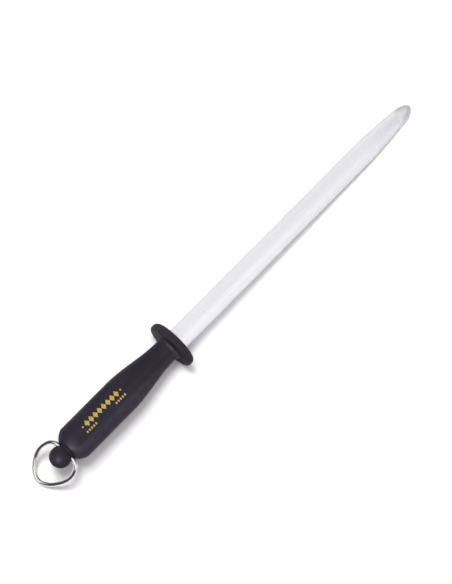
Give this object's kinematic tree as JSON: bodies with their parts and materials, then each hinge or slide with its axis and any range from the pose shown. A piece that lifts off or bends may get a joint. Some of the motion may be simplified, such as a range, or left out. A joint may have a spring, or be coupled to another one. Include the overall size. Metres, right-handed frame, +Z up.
{
  "type": "knife sharpening steel",
  "caption": "Oval butcher's sharpening steel with a grooved tapered rod, oval guard, black moulded grip, swivel ball knob and hanging ring.",
  "frame": {"origin": "middle of the footprint at ground level, with the steel lying on its guard rim, rod tip and hanging ring", "axes": "+X along the rod towards its tip, level with the ground; +Z up, out of the grip's broad side; +Y across the broad side"},
  "size_m": [0.467, 0.046, 0.037],
  "materials": {
    "rod_steel": "bright hardened steel, fine grooves along its length, smooth ground nose",
    "guard_plastic": "satin black moulding",
    "grip_plastic": "satin black moulding with a fine grain",
    "gold_print": "thin hot-stamped gold ornament on the grip, in the visual model only",
    "knob_plastic": "satin black moulding",
    "zinc_steel": "zinc plated",
    "bush_brass": "turned",
    "nylon": "natural",
    "ring_chrome": "polished"
  },
  "bodies": {
    "handle": {"sharpening_rod": "rod_steel", "hand_guard": "guard_plastic", "handle_grip": "grip_plastic", "clamp_washer": "zinc_steel", "clamp_nut": "zinc_steel", "swivel_bush": "bush_brass", "lock_washer": "zinc_steel", "lock_nut": "zinc_steel"},
    "knob": {"swivel_knob": "knob_plastic", "knob_cap": "knob_plastic", "thrust_washer": "nylon"},
    "ring": {"hanging_ring": "ring_chrome"}
  },
  "joints": [
    {"name": "knob_swivel", "type": "hinge", "parent": "handle", "child": "knob", "pos_m": [-0.20787, 0, 0.02497], "axis": [0.9987, 0, -0.0506], "continuous": true},
    {"name": "ring_tilt", "type": "hinge", "parent": "knob", "child": "ring", "pos_m": [-0.20208, 0, 0.02468], "axis": [0, 1, 0], "range_deg": [-105.5, 186.5]}
  ]
}
